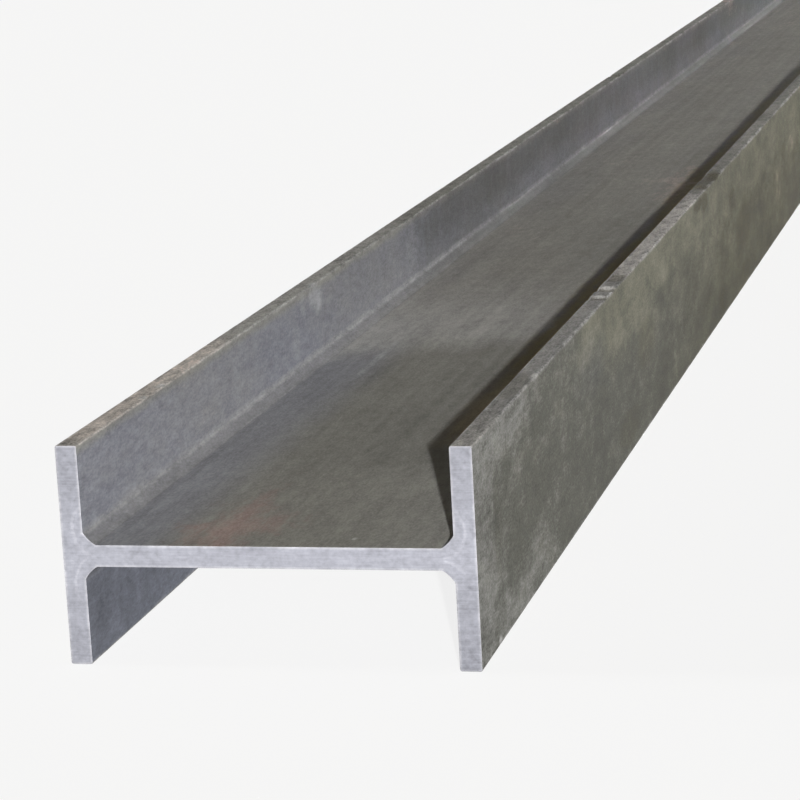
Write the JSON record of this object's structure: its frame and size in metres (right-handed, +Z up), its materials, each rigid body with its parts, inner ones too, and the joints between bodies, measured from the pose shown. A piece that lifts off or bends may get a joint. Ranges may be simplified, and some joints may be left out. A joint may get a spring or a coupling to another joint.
{
  "type": "steel h-beam",
  "caption": "Hot-rolled steel H-beam: a straight length of structural stock with parallel flanges, a central web and rolled roots, sawn square at its ends.",
  "frame": {"origin": "middle of the beam's length and width, at the level of the floor that the lower flange tips rest on", "axes": "+Y along the beam, +X across it from flange to flange, +Z up out of the level web"},
  "size_m": [0.3, 6, 0.16],
  "materials": {
    "rolled_steel": "hot-rolled mill scale with light rust, bare sawn ends"
  },
  "bodies": {
    "root": {"h_beam": "rolled_steel"}
  },
  "joints": []
}
